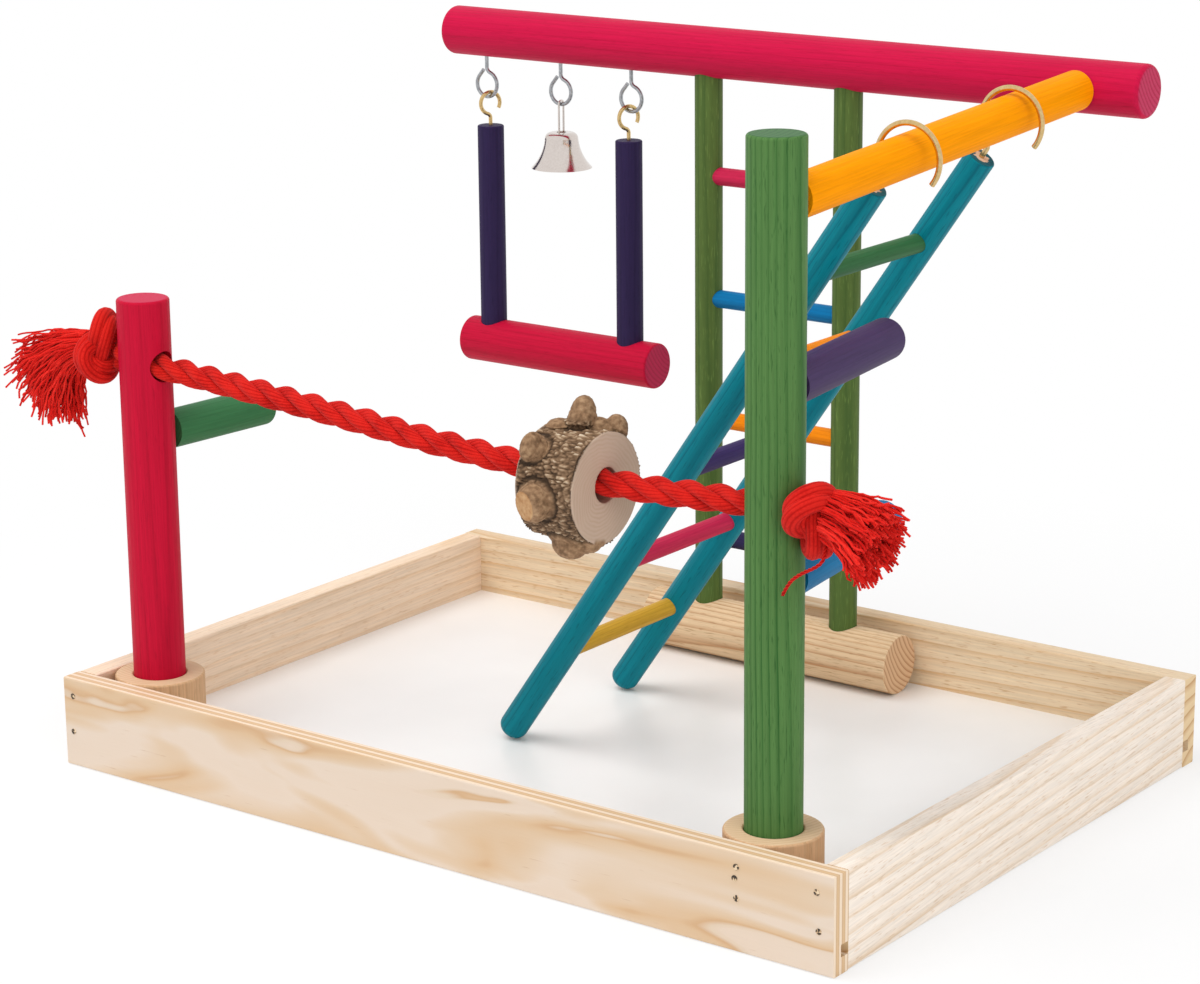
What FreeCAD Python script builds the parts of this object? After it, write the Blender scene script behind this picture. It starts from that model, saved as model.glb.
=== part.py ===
import FreeCAD, Part
import math
import os
import Sketcher

# Parrot play stand: a wooden seed tray that carries two posts, a small frame with a long top bar,
# stub perches, a hanging swing, a bell, a ladder and a rope with a slice of branch on it.
# Millimetres. X runs along the front board, Y to the back, Z up.
# The origin is the middle of the tray, at its underside.

V = FreeCAD.Vector
doc = FreeCAD.newDocument("parrot_play_stand")

# ---------------------------------------------------------------- driving dimensions
DIMENSIONS = (
    ("tray_length", 440, "tray, outside, along X"),
    ("tray_width", 316, "tray, outside, along Y"),
    ("tray_height", 44, "height of the tray's boards"),
    ("board_thick", 11, "thickness of the tray's boards"),
    ("groove_z", 7.5, "underside of the floor panel above the ground"),
    ("panel_thick", 5.5, "floor panel, and the groove that holds it"),
    ("groove_deep", 5.5, "depth of the groove in each board"),
    ("post_radius", 12.5, "25 mm stock: both posts and the top bar"),
    ("post_y", -125.5, "row of the two posts and of the rope"),
    ("left_post_x", -187.5, "left post"),
    ("right_post_x", 168.6, "right post"),
    ("left_post_top", 228, "top of the left post"),
    ("right_post_top", 337, "top of the right post"),
    ("collar_radius", 21.5, "wooden ring round the foot of a post"),
    ("collar_bore", 12.6, "bore of that ring"),
    ("rope_hole", 7.4, "radius of the rope's hole in a post"),
    ("left_hole_z", 196.4, "height of the rope's hole in the left post"),
    ("right_hole_z", 184.1, "height of the rope's hole in the right post"),
    ("perch_radius", 9.3, "stub perches and crossbar"),
    ("frame_y", 129.8, "plane of the back frame and the top bar"),
    ("upright_radius", 7, "14 mm stock: frame uprights and ladder rails"),
    ("left_upright_x", -43.5, "left upright"),
    ("right_upright_x", 38.5, "right upright"),
    ("rung_radius", 4.5, "9 mm stock: all rungs"),
    ("rung_hole", 4.6, "radius of a rung's blind hole"),
    ("rung_sink", 6, "how far a rung goes into its upright"),
    ("first_rung_z", 76.3, "lowest frame rung"),
    ("frame_pitch", 62.2, "frame rung to frame rung"),
    ("log_radius", 15, "log that the uprights stand in"),
    ("log_z", 28, "axis of the log"),
    ("log_left", -76, "left end of the log"),
    ("log_long", 148, "length of the log"),
    ("bar_z", 324.3, "axis of the top bar"),
    ("bar_left", -205.5, "left end of the top bar"),
    ("bar_long", 405, "length of the top bar"),
    ("crossbar_x", 168.3, "crossbar from the right post to the top bar"),
    ("crossbar_low", 308.8, "axis of the crossbar at the right post"),
    ("crossbar_high", 323.8, "axis of the crossbar at the top bar"),
    ("eye_wire", 1, "wire radius of an eye screw"),
    ("eye_loop", 6.5, "radius of an eye, to the middle of its wire"),
    ("eye_bottom", 290.7, "middle of the wire at the bottom of an eye"),
    ("swing_left_x", -182.6, "left stick of the swing"),
    ("swing_right_x", -93, "right stick of the swing"),
    ("swing_stick", 6.9, "radius of the swing's sticks"),
    ("swing_perch_z", 160.8, "axis of the swing's perch"),
    ("swing_perch_radius", 11.75, "radius of the swing's perch"),
    ("swing_perch_left", -197.5, "left end of the swing's perch"),
    ("swing_perch_long", 121.9, "length of the swing's perch"),
    ("bell_x", -136, "middle eye, with the bell"),
    ("bell_crown", 276.3, "top of the bell's crown"),
    ("bell_crown_radius", 8.6, "outer radius of the bell's crown"),
    ("bell_mouth", 15.7, "outer radius of the bell's mouth"),
    ("bell_tall", 18.3, "height of the bell"),
    ("bell_wall", 0.8, "thickness of the bell's metal"),
    ("ladder_x", 163.8, "head of the ladder's rails: x"),
    ("ladder_z", 313.3, "head of the ladder's rails: z"),
    ("ladder_lean", 35.25, "lean of the ladder from upright, degrees"),
    ("ladder_near_y", -32.2, "near rail"),
    ("ladder_far_y", 57.6, "far rail"),
    ("ladder_head", 15.5, "rail tops below the head point, along the rails"),
    ("ladder_foot", 364.8, "rail feet below the head point, along the rails"),
    ("ladder_first", 66, "top rung below the head point"),
    ("ladder_pitch", 60.2, "ladder rung to ladder rung"),
    ("rope_radius", 6.2, "cotton rope"),
    ("disc_radius", 25.2, "branch slice, over its bark"),
    ("disc_left", 50, "left face of the branch slice"),
    ("disc_thick", 31.7, "thickness of the branch slice"),
    ("disc_z", 177.9, "middle of the branch slice"),
    ("disc_bore", 8.8, "radius of its bore"),
    ("disc_bore_z", 179.1, "axis of its bore"),
)

sheet = doc.addObject("Spreadsheet::Sheet", "dims")
for row, (alias, value, note) in enumerate(DIMENSIONS, start=1):
    sheet.set("A%d" % row, note)
    sheet.set("B%d" % row, str(value))
    sheet.setAlias("B%d" % row, alias)
doc.recompute()


def size(text):
    """Value in mm of an expression over the sheet."""
    result = sheet.evalExpression(text)
    return float(getattr(result, "Value", result))


# ---------------------------------------------------------------- ways of making pieces
ALONG_X = FreeCAD.Rotation(V(0, 1, 0), 90)
ALONG_Y = FreeCAD.Rotation(V(1, 0, 0), -90)
UPSIDE_DOWN = FreeCAD.Rotation(V(1, 0, 0), 180)


def new_body(name):
    body = doc.addObject("PartDesign::Body", name)
    body.Label = name
    return body


def origin_part(body, role):
    return [part for part in body.Origin.OriginFeatures if part.Role == role][0]


def new_sketch(body, name, role, shift=()):
    """Sketch on one of the body's own planes, moved by expressions: across, up, along the normal."""
    sketch = body.newObject("Sketcher::SketchObject", name)
    sketch.AttachmentSupport = [(origin_part(body, role), "")]
    sketch.MapMode = "FlatFace"
    for axis, text in zip("xyz", shift):
        sketch.setExpression("AttachmentOffset.Base." + axis, text)
    return sketch


def bind(sketch, constraint, text):
    """Adds a dimension and ties it to the sheet."""
    number = sketch.addConstraint(constraint)
    sketch.setExpression("Constraints[%d]" % number, text)


def round_sketch(body, name, role, radius, shift=()):
    sketch = new_sketch(body, name, role, shift)
    sketch.addGeometry(Part.Circle(V(), V(0, 0, 1), size(radius)))
    sketch.addConstraint(Sketcher.Constraint("Coincident", 0, 3, -1, 1))
    bind(sketch, Sketcher.Constraint("Radius", 0, size(radius)), radius)
    return sketch


def pin(sketch, piece, point, x, y):
    """Fixes one point of a sketch at (x, y), each an expression; 0 puts it on the axis."""
    if x == "0":
        sketch.addConstraint(Sketcher.Constraint("PointOnObject", piece, point, -2))
    else:
        bind(sketch, Sketcher.Constraint("DistanceX", -1, 1, piece, point, size(x)), x)
    if y == "0":
        sketch.addConstraint(Sketcher.Constraint("PointOnObject", piece, point, -1))
    else:
        bind(sketch, Sketcher.Constraint("DistanceY", -1, 1, piece, point, size(y)), y)


def outline(body, name, role, corners, arcs=None, shift=()):
    """Closed outline through corners given as expressions. arcs maps the number of a side to
    (bulge point, radius), for a side that is an arc."""
    arcs = arcs or {}
    sketch = new_sketch(body, name, role, shift)
    points = [V(size(x), size(y), 0) for x, y in corners]
    count = len(points)
    sides = []
    for side in range(count):
        start = points[side]
        end = points[(side + 1) % count]
        curve = Part.LineSegment(start, end)
        if side in arcs:
            curve = Part.Arc(start, V(*arcs[side][0], 0), end)
        sketch.addGeometry(curve)
        sides.append(sketch.Geometry[side])
    for side, curve in enumerate(sides):
        starts = 1 if curve.StartPoint.distanceToPoint(points[side]) < 1e-6 else 2
        pin(sketch, side, starts, *corners[side])
        if side in arcs:
            pin(sketch, side, 3 - starts, *corners[(side + 1) % count])
            bind(sketch, Sketcher.Constraint("Radius", side, curve.Radius), arcs[side][1])
        elif (side + 1) % count in arcs:
            pin(sketch, side, 2, *corners[(side + 1) % count])
        else:
            sketch.addConstraint(Sketcher.Constraint("Coincident", side, 2, (side + 1) % count, 1))
    return sketch


def pad(body, name, sketch, length):
    feature = body.newObject("PartDesign::Pad", name)
    feature.Profile = sketch
    feature.setExpression("Length", length)
    doc.recompute()
    return feature


def turned(body, name, sketch):
    """Turns the outline once round the body's Z axis."""
    feature = body.newObject("PartDesign::Revolution", name)
    feature.Profile = sketch
    feature.ReferenceAxis = (origin_part(body, "Z_Axis"), [""])
    feature.Angle = 360
    doc.recompute()
    return feature


def cut(body, name, sketch, forward):
    """Cuts the outline through all, from its own plane on: forward along the plane's normal."""
    before = body.Shape.Volume
    feature = body.newObject("PartDesign::Pocket", name)
    feature.Profile = sketch
    feature.Type = "ThroughAll"
    feature.Reversed = forward
    doc.recompute()
    if not body.Shape.Volume < before - 0.01:
        raise ValueError(name + " cuts nothing")
    return feature


def eased(body, name, feature, radius, heights):
    """Rounds the rims of a round stick whose centres lie at these heights."""
    rims = []
    for number, edge in enumerate(feature.Shape.Edges, start=1):
        level = edge.BoundBox.ZMin
        flat = edge.BoundBox.ZLength < 0.01
        if flat and any(abs(level - height) < 0.01 for height in heights):
            rims.append("Edge%d" % number)
    soft = body.newObject("PartDesign::Fillet", name)
    soft.Base = (feature, rims)
    soft.Radius = radius
    doc.recompute()
    return soft


def place(body, x, y, z, turn=None):
    body.Placement = FreeCAD.Placement(V(), turn or FreeCAD.Rotation())
    for axis, text in zip("xyz", (x, y, z)):
        body.setExpression("Placement.Base." + axis, text)


def stick(name, radius, length, soft=0.0, ends=(True, True)):
    """Round stick from the body's origin up its Z axis."""
    body = new_body(name)
    feature = pad(body, name + "_stick", round_sketch(body, name + "_end", "XY_Plane", radius), length)
    if soft:
        heights = [height for height, wanted in zip((0, size(length)), ends) if wanted]
        eased(body, name + "_eased", feature, soft, heights)
    return body


def repeat(body, name, feature, pitch, count):
    """Repeats a cut up the body's Z axis."""
    before = body.Shape.Volume
    pattern = body.newObject("PartDesign::LinearPattern", name)
    pattern.Originals = [feature]
    pattern.Direction = (origin_part(body, "Z_Axis"), [""])
    pattern.Occurrences = count
    pattern.setExpression("Length", "%s * %d" % (pitch, count - 1))
    body.Tip = pattern
    doc.recompute()
    if not body.Shape.Volume < before - 0.01:
        raise ValueError(name + " repeats nothing")


def hook_wire(name, wire, shank, bend, loop, across, up, tip, tail=None):
    """Screw hook or eye of round wire, in the body's XZ plane: a shank up the Z axis, a small
    bend to the left, then the round loop over the top to the tip on the right. The loop's centre
    is at (across, up) and the tip is at the height tip from that centre. An eye has a straight
    tail that runs on from there to the shank and closes it."""
    body = new_body(name)
    small = size(bend)
    large = size(loop)
    side = size(across)
    angle = math.acos((side + small) / (small + large))
    neck = size(up) - (small + large) * math.sin(angle)
    last = math.asin(size(tip) / large)
    spine = new_sketch(body, name + "_line", "XZ_Plane")
    spine.addGeometry(Part.LineSegment(V(0, size(shank), 0), V(0, neck, 0)))
    spine.addGeometry(Part.ArcOfCircle(Part.Circle(V(-small, neck, 0), V(0, 0, 1), small), 0, angle))
    spine.addGeometry(Part.ArcOfCircle(Part.Circle(V(side, size(up), 0), V(0, 0, 1), large),
                                       last, math.pi + angle))
    if tail:
        joint = V(side + large * math.cos(last), size(up) + large * math.sin(last), 0)
        end = joint + V(math.sin(last), -math.cos(last), 0) * size(tail)
        spine.addGeometry(Part.LineSegment(joint, end))
    pin(spine, 0, 1, "0", shank)
    spine.addConstraint(Sketcher.Constraint("Vertical", 0))
    spine.addConstraint(Sketcher.Constraint("Tangent", 0, 2, 1, 1))
    spine.addConstraint(Sketcher.Constraint("Tangent", 1, 2, 2, 2))
    bind(spine, Sketcher.Constraint("Radius", 1, small), bend)
    bind(spine, Sketcher.Constraint("Radius", 2, large), loop)
    pin(spine, 2, 3, across, up)
    bind(spine, Sketcher.Constraint("DistanceY", 2, 3, 2, 1, size(tip)), tip)
    if tail:
        spine.addConstraint(Sketcher.Constraint("Tangent", 2, 1, 3, 1))
        bind(spine, Sketcher.Constraint("Distance", 3, size(tail)), tail)
    section = round_sketch(body, name + "_wire", "XY_Plane", wire, ("0", "0", shank))
    pipe = body.newObject("PartDesign::AdditivePipe", name + "_bent")
    pipe.Profile = section
    pipe.Spine = (spine, ["Edge%d" % (number + 1) for number in range(spine.GeometryCount)])
    doc.recompute()
    return body


def group(name, pattern, places):
    """Equal fasteners in one piece list entry: a separate solid at each place."""
    solids = []
    for point, turn in places:
        solid = pattern.Shape.copy()
        solid.Placement = FreeCAD.Placement(point, turn)
        solids.append(solid)
    feature = doc.addObject("Part::Feature", name)
    feature.Label = name
    feature.Shape = Part.makeCompound(solids)
    return feature


pieces = []

# ---------------------------------------------------------------- tray
# Four boards with a groove for the floor panel. The front and back boards run the whole length, so
# their grooves show at their ends.


def board(name, length, x, y, angle):
    """Board along its own X axis, its inner face with the groove towards +Y."""
    body = new_body(name)
    thick = "dims.board_thick"
    deep = "dims.board_thick - dims.groove_deep"
    low = "dims.groove_z"
    high = "dims.groove_z + dims.panel_thick"
    tall = "dims.tray_height"
    corners = (("0", "0"), (thick, "0"), (thick, low), (deep, low),
               (deep, high), (thick, high), (thick, tall), ("0", tall))
    section = outline(body, name + "_section", "YZ_Plane", corners, None, ("0", "0", "-(%s) / 2" % length))
    feature = pad(body, name + "_board", section, length)
    long_edges = []
    for number, edge in enumerate(feature.Shape.Edges, start=1):
        box = edge.BoundBox
        outer = box.ZMin < 0.01 or box.ZMax > size(tall) - 0.01
        if box.XLength > 1 and outer:
            long_edges.append("Edge%d" % number)
    soft = body.newObject("PartDesign::Fillet", name + "_eased")
    soft.Base = (feature, long_edges)
    soft.Radius = 0.8
    doc.recompute()
    place(body, x, y, "0", FreeCAD.Rotation(V(0, 0, 1), angle))
    return body


side_length = "dims.tray_width - 2 * dims.board_thick"
pieces.append(board("front_board", "dims.tray_length", "0", "-dims.tray_width / 2", 0))
pieces.append(board("back_board", "dims.tray_length", "0", "dims.tray_width / 2", 180))
pieces.append(board("left_board", side_length, "-dims.tray_length / 2", "0", -90))
pieces.append(board("right_board", side_length, "dims.tray_length / 2", "0", 90))

panel = new_body("floor_panel")
half_x = "dims.tray_length / 2 - dims.board_thick + dims.groove_deep"
half_y = "dims.tray_width / 2 - dims.board_thick + dims.groove_deep"
panel_corners = (("-(%s)" % half_x, "-(%s)" % half_y), (half_x, "-(%s)" % half_y),
                 (half_x, half_y), ("-(%s)" % half_x, half_y))
panel_outline = outline(panel, "panel_outline", "XY_Plane", panel_corners)
pad(panel, "panel_board", panel_outline, "dims.panel_thick")
place(panel, "0", "0", "dims.groove_z")
pieces.append(panel)

# Nails: head at the body's origin, point up the Z axis.
nail = new_body("nail")
nail_corners = (("0", "0"), ("1.4", "0"), ("1.4", "0.5"), ("0.75", "0.8"), ("0.75", "17"), ("0", "19"))
turned(nail, "nail_turned", outline(nail, "nail_half", "XZ_Plane", nail_corners))
edge_y = size("dims.tray_width / 2") + 0.2
front_nails = ((-214.2, 35.2), (-214.8, 17.3), (211.6, 35.7), (212.7, 18.8),
               (172, 37.5), (171.2, 32.3), (172.1, 23.7))
back_nails = ((-214.2, 35), (-214.2, 18), (214.2, 35), (214.2, 18))
nail_places = [(V(x, -edge_y, z), ALONG_Y) for x, z in front_nails]
nail_places += [(V(x, edge_y, z), ALONG_Y.inverted()) for x, z in back_nails]
pieces.append(group("tray_nails", nail, nail_places))

# ---------------------------------------------------------------- posts and their collars
for side in ("left", "right"):
    post_x = "dims.%s_post_x" % side
    floor = "dims.groove_z + dims.panel_thick"
    ring = new_body(side + "_collar")
    bore = "dims.collar_bore"
    rim = "dims.collar_radius"
    ring_height = "dims.tray_height - dims.groove_z - dims.panel_thick"
    corners = ((bore, "0"), (rim, "0"), (rim, ring_height), (bore, ring_height))
    ring_half = outline(ring, side + "_collar_half", "XZ_Plane", corners)
    ring_turned = turned(ring, side + "_collar_turned", ring_half)
    eased(ring, side + "_collar_eased", ring_turned, 1.2, [size(ring_height)])
    place(ring, post_x, "dims.post_y", floor)
    pieces.append(ring)

    post_length = "dims.%s_post_top - (%s)" % (side, floor)
    post = stick(side + "_post", "dims.post_radius", post_length, 1.5, (False, True))
    hole_shift = ("0", "dims.%s_hole_z - (%s)" % (side, floor), "-dims.post_radius - 1")
    hole = round_sketch(post, side + "_hole_round", "YZ_Plane", "dims.rope_hole", hole_shift)
    cut(post, side + "_rope_hole", hole, True)
    place(post, post_x, "dims.post_y", floor)
    pieces.append(post)

# Wood screws from below: pan head at the body's origin, point up the Z axis.
screw = new_body("screw")
screw_corners = (("0", "0"), ("3.2", "0"), ("3.6", "1.4"), ("3.6", "2.3"),
                 ("1.8", "2.3"), ("1.8", "24"), ("0", "28"))
turned(screw, "screw_turned", outline(screw, "screw_half", "XZ_Plane", screw_corners))
head_z = size("dims.groove_z") - 2.3
UPRIGHT = FreeCAD.Rotation()
post_points = [V(size("dims.%s_post_x" % side), size("dims.post_y"), head_z) for side in ("left", "right")]
pieces.append(group("post_screws", screw, [(point, UPRIGHT) for point in post_points]))

# ---------------------------------------------------------------- back frame
# Two uprights stand in blind holes in a log and end in blind holes in the top bar.
log = stick("base_log", "dims.log_radius", "dims.log_long", 0.8)
for side in ("left", "right"):
    socket_shift = ("0", "dims.%s_upright_x - dims.log_left" % side, "3")
    socket = round_sketch(log, side + "_socket_round", "YZ_Plane", "dims.upright_radius + 0.2", socket_shift)
    cut(log, side + "_socket", socket, False)
place(log, "dims.log_left", "dims.frame_y", "dims.log_z", ALONG_X)
pieces.append(log)

short_screw = new_body("short_screw")
short_corners = (("0", "0"), ("3.2", "0"), ("3.6", "1.4"), ("3.6", "2.3"),
                 ("1.8", "2.3"), ("1.8", "18"), ("0", "21"))
turned(short_screw, "short_turned", outline(short_screw, "short_half", "XZ_Plane", short_corners))
log_points = [V(x, size("dims.frame_y"), head_z) for x in (-62, 58)]
pieces.append(group("log_screws", short_screw, [(point, UPRIGHT) for point in log_points]))

upright_foot = "dims.log_z - 3"
for side, inward in (("left", 1), ("right", -1)):
    upright = stick(side + "_upright", "dims.upright_radius", "dims.bar_z - (%s)" % upright_foot)
    depth = "%d * (dims.upright_radius - dims.rung_sink)" % inward
    first = "dims.first_rung_z - (%s)" % upright_foot
    hole = round_sketch(upright, side + "_rung_round", "YZ_Plane", "dims.rung_hole", ("0", first, depth))
    first_hole = cut(upright, side + "_rung_hole", hole, inward > 0)
    repeat(upright, side + "_rung_holes", first_hole, "dims.frame_pitch", 4)
    place(upright, "dims.%s_upright_x" % side, "dims.frame_y", upright_foot)
    pieces.append(upright)

inner = "dims.upright_radius - dims.rung_sink"
rung_length = "dims.right_upright_x - dims.left_upright_x - 2 * (%s)" % inner
for number in range(4):
    rung = stick("frame_rung_%d" % (number + 1), "dims.rung_radius", rung_length)
    rung_z = "dims.first_rung_z + %d * dims.frame_pitch" % number
    place(rung, "dims.left_upright_x + (%s)" % inner, "dims.frame_y", rung_z, ALONG_X)
    pieces.append(rung)

bar = stick("top_bar", "dims.post_radius", "dims.bar_long", 2.5)
for side in ("left", "right"):
    seat_shift = ("0", "dims.%s_upright_x - dims.bar_left" % side, "0")
    seat = round_sketch(bar, side + "_seat_round", "YZ_Plane", "dims.upright_radius + 0.1", seat_shift)
    cut(bar, side + "_seat", seat, True)
place(bar, "dims.bar_left", "dims.frame_y", "dims.bar_z", ALONG_X)
pieces.append(bar)

# ---------------------------------------------------------------- crossbar and stub perches
# The crossbar climbs a little from the right post to the top bar, and both its ends are cut upright.
crossbar = new_body("crossbar")
cross_run = "dims.frame_y - dims.post_y - 2 * dims.post_radius"
cross_rise = "dims.crossbar_high - dims.crossbar_low"
cross_end = round_sketch(crossbar, "crossbar_end", "XZ_Plane", "dims.perch_radius")
cross_pad = crossbar.newObject("PartDesign::Pad", "crossbar_stick")
cross_pad.Profile = cross_end
cross_pad.UseCustomVector = True
cross_pad.Direction = V(0, size(cross_run), size(cross_rise))
cross_pad.AlongSketchNormal = False
cross_pad.setExpression("Length", "sqrt((%s)^2 + (%s)^2)" % (cross_run, cross_rise))
doc.recompute()
place(crossbar, "dims.crossbar_x", "dims.post_y + dims.post_radius", "dims.crossbar_low")
pieces.append(crossbar)

# Stub perches butt on their post. Each: name, post, height, turn from +Y, reach from the post's axis.
STUBS = (
    ("upper_stub_perch", "right", 231.8, 8.0, 110.5),
    ("lower_stub_perch", "right", 150.2, 8.0, 110.5),
    ("left_stub_perch", "left", 162.1, -4.4, 75.0),
)
screw_places = []
for name, side, height, turn, reach in STUBS:
    stub = stick(name, "dims.perch_radius", "%g - dims.post_radius" % reach, 2.5, (False, True))
    spin = FreeCAD.Rotation(V(0, 0, 1), turn) * ALONG_Y
    ahead = spin.multVec(V(0, 0, 1))
    place(stub, "dims.%s_post_x + dims.post_radius * %g" % (side, ahead.x),
          "dims.post_y + dims.post_radius * %g" % ahead.y, "%g" % height, spin)
    pieces.append(stub)
    seat_point = V(size("dims.%s_post_x" % side), size("dims.post_y"), height)
    screw_places.append((seat_point + ahead * (size("dims.post_radius") - 12), spin))

# Double-ended screws, hidden in the joints of the stubs and of the crossbar.
double_screw = new_body("double_screw")
double_corners = (("0", "0"), ("2", "4"), ("2", "30"), ("0", "34"))
turned(double_screw, "double_turned", outline(double_screw, "double_half", "XZ_Plane", double_corners))
low_end = V(size("dims.crossbar_x"), size("dims.post_y + dims.post_radius") - 12, size("dims.crossbar_low"))
high_end = V(size("dims.crossbar_x"), size("dims.frame_y - dims.post_radius") - 22, size("dims.crossbar_high"))
screw_places.append((low_end, ALONG_Y))
screw_places.append((high_end, ALONG_Y))
pieces.append(group("dowel_screws", double_screw, screw_places))

# ---------------------------------------------------------------- eye screws under the top bar
# Drop-shaped eyes, opened in the XZ plane, screwed up into the bar. Their bodies hang upside down.
eye_centre = "dims.eye_bottom + dims.eye_loop"
EYES = (("left_swing_eye", "dims.swing_left_x - 1.8"), ("bell_eye", "dims.bell_x"),
        ("right_swing_eye", "dims.swing_right_x + 1.8"))
for name, eye_x in EYES:
    eye_up = "dims.bar_z - dims.post_radius - (%s)" % eye_centre
    eye = hook_wire(name, "dims.eye_wire", "-10", "3.2", "dims.eye_loop", "0", eye_up, "-4.2", "4.3")
    place(eye, eye_x, "dims.frame_y", "dims.bar_z - dims.post_radius", FreeCAD.Rotation(V(0, 1, 0), 180))
    pieces.append(eye)

# ---------------------------------------------------------------- swing
# Two sticks stand in blind holes in the perch and hang by brass hooks from the outer eyes.
stick_top = "276"
stick_foot = "dims.swing_perch_z + 3"
swing_perch = stick("swing_perch", "dims.swing_perch_radius", "dims.swing_perch_long", 1.2)
for side in ("left", "right"):
    hole_at = "dims.swing_%s_x - dims.swing_perch_left" % side
    hole = round_sketch(swing_perch, side + "_stick_round", "YZ_Plane", "dims.swing_stick + 0.1",
                        ("0", hole_at, "-3"))
    cut(swing_perch, side + "_stick_hole", hole, False)
place(swing_perch, "dims.swing_perch_left", "dims.frame_y", "dims.swing_perch_z", ALONG_X)
pieces.append(swing_perch)
HOOK_TURN = 70.0
for side in ("left", "right"):
    swing_x = "dims.swing_%s_x" % side
    swing_stick = stick("swing_%s_stick" % side, "dims.swing_stick", "%s - (%s)" % (stick_top, stick_foot),
                        0.8, (False, True))
    place(swing_stick, swing_x, "dims.frame_y", stick_foot)
    pieces.append(swing_stick)
    hook_up = "dims.eye_bottom + 2.55 - 5.75 - %s" % stick_top
    hook = hook_wire("swing_%s_hook" % side, "1", "-10", "2.5", "5.75", "0", hook_up, "-2.9")
    place(hook, swing_x, "dims.frame_y", stick_top, FreeCAD.Rotation(V(0, 0, 1), HOOK_TURN))
    pieces.append(hook)

# ---------------------------------------------------------------- bell
# A pressed bell: rounded crown, waist and flared mouth. A long wire link hangs from the eye, passes
# through the crown and carries the clapper inside.
bell = new_body("bell_shell")
flare = 24.0
crown_rim = V(size("dims.bell_crown_radius"), size("dims.bell_tall"), 0)
mouth_rim = V(size("dims.bell_mouth"), 0, 0)
chord = mouth_rim - crown_rim
sag = flare - math.sqrt(flare ** 2 - (chord.Length / 2) ** 2)
waist = (crown_rim + mouth_rim) * 0.5 + V(chord.y, -chord.x, 0).normalize() * sag
bell_corners = (("0", "0"), ("0", "dims.bell_tall"), ("dims.bell_crown_radius", "dims.bell_tall"),
                ("dims.bell_mouth", "0"))
bell_half = outline(bell, "bell_half", "XZ_Plane", bell_corners, {2: ((waist.x, waist.y), "%g" % flare)})
bell_block = turned(bell, "bell_block", bell_half)
bell_round = eased(bell, "bell_shoulder", bell_block, 3.4, [size("dims.bell_tall")])
mouth_faces = ["Face%d" % number for number, face in enumerate(bell_round.Shape.Faces, start=1)
               if face.BoundBox.ZLength < 0.01 and face.BoundBox.ZMax < 1]
bell_skin = bell.newObject("PartDesign::Thickness", "bell_skin")
bell_skin.Base = (bell_round, mouth_faces)
bell_skin.setExpression("Value", "dims.bell_wall")
bell_skin.Reversed = True
doc.recompute()
bell_hole = round_sketch(bell, "bell_hole_round", "XY_Plane", "2.5", ("0", "0", "dims.bell_tall - 4"))
cut(bell, "bell_hole", bell_hole, True)
place(bell, "dims.bell_x", "dims.frame_y", "dims.bell_crown - dims.bell_tall")
pieces.append(bell)

# Link: a long closed ring of wire in the YZ plane.
link_top = size("dims.eye_bottom") + 1.9
link_low = 272.5
link_half = 1.9
high = V(0, 0, link_top - link_half)
low = V(0, 0, link_low + link_half)
out = V(0, link_half, 0)
link_line = Part.Wire([
    Part.LineSegment(low + out, high + out).toShape(),
    Part.Arc(high + out, V(0, 0, link_top), high - out).toShape(),
    Part.LineSegment(high - out, low - out).toShape(),
    Part.Arc(low - out, V(0, 0, link_low), low + out).toShape(),
])
link_section = Part.Wire([Part.Circle(low + out, V(0, 0, 1), 0.55).toShape()])
link = doc.addObject("Part::Feature", "bell_link")
link.Label = "bell_link"
link.Shape = link_line.makePipeShell([link_section], True, False)
link.Placement = FreeCAD.Placement(V(size("dims.bell_x"), size("dims.frame_y"), 0), UPRIGHT)
pieces.append(link)

# Clapper: a ring on the bottom of the link, a stem and a ball. Its body hangs from the link's bottom.
clapper = new_body("bell_clapper")
clapper_corners = (("0", "-12.6"), ("3", "-9.6"), ("0.7", "-6.69"), ("0.7", "-1.7"), ("0", "-1.7"))
clapper_arcs = {0: ((3 * math.sqrt(0.5), -9.6 - 3 * math.sqrt(0.5)), "3"),
                1: ((2.43, -7.84), "3")}
clapper_half = outline(clapper, "clapper_half", "XZ_Plane", clapper_corners, clapper_arcs)
turned(clapper, "clapper_turned", clapper_half)
clapper_ring = clapper.newObject("PartDesign::AdditiveTorus", "clapper_ring")
clapper_ring.Radius1 = 1.45
clapper_ring.Radius2 = 0.5
clapper_ring.Placement = FreeCAD.Placement(V(0, 0, -0.05), FreeCAD.Rotation(V(1, 0, 0), 90))
doc.recompute()
place(clapper, "dims.bell_x", "dims.frame_y", "%g" % link_low)
pieces.append(clapper)

# ---------------------------------------------------------------- ladder
# All its pieces share one placement: Z up along the rails, Y along the rungs.


def lean(body, y, down):
    """Puts a piece in the leaning ladder: y across, and down along the rails from their head point."""
    turn = FreeCAD.Rotation(V(0, 1, 0), size("dims.ladder_lean"))
    place(body, "dims.ladder_x - (%s) * sin(dims.ladder_lean * 1 deg)" % down, y,
          "dims.ladder_z - (%s) * cos(dims.ladder_lean * 1 deg)" % down, turn)


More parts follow.
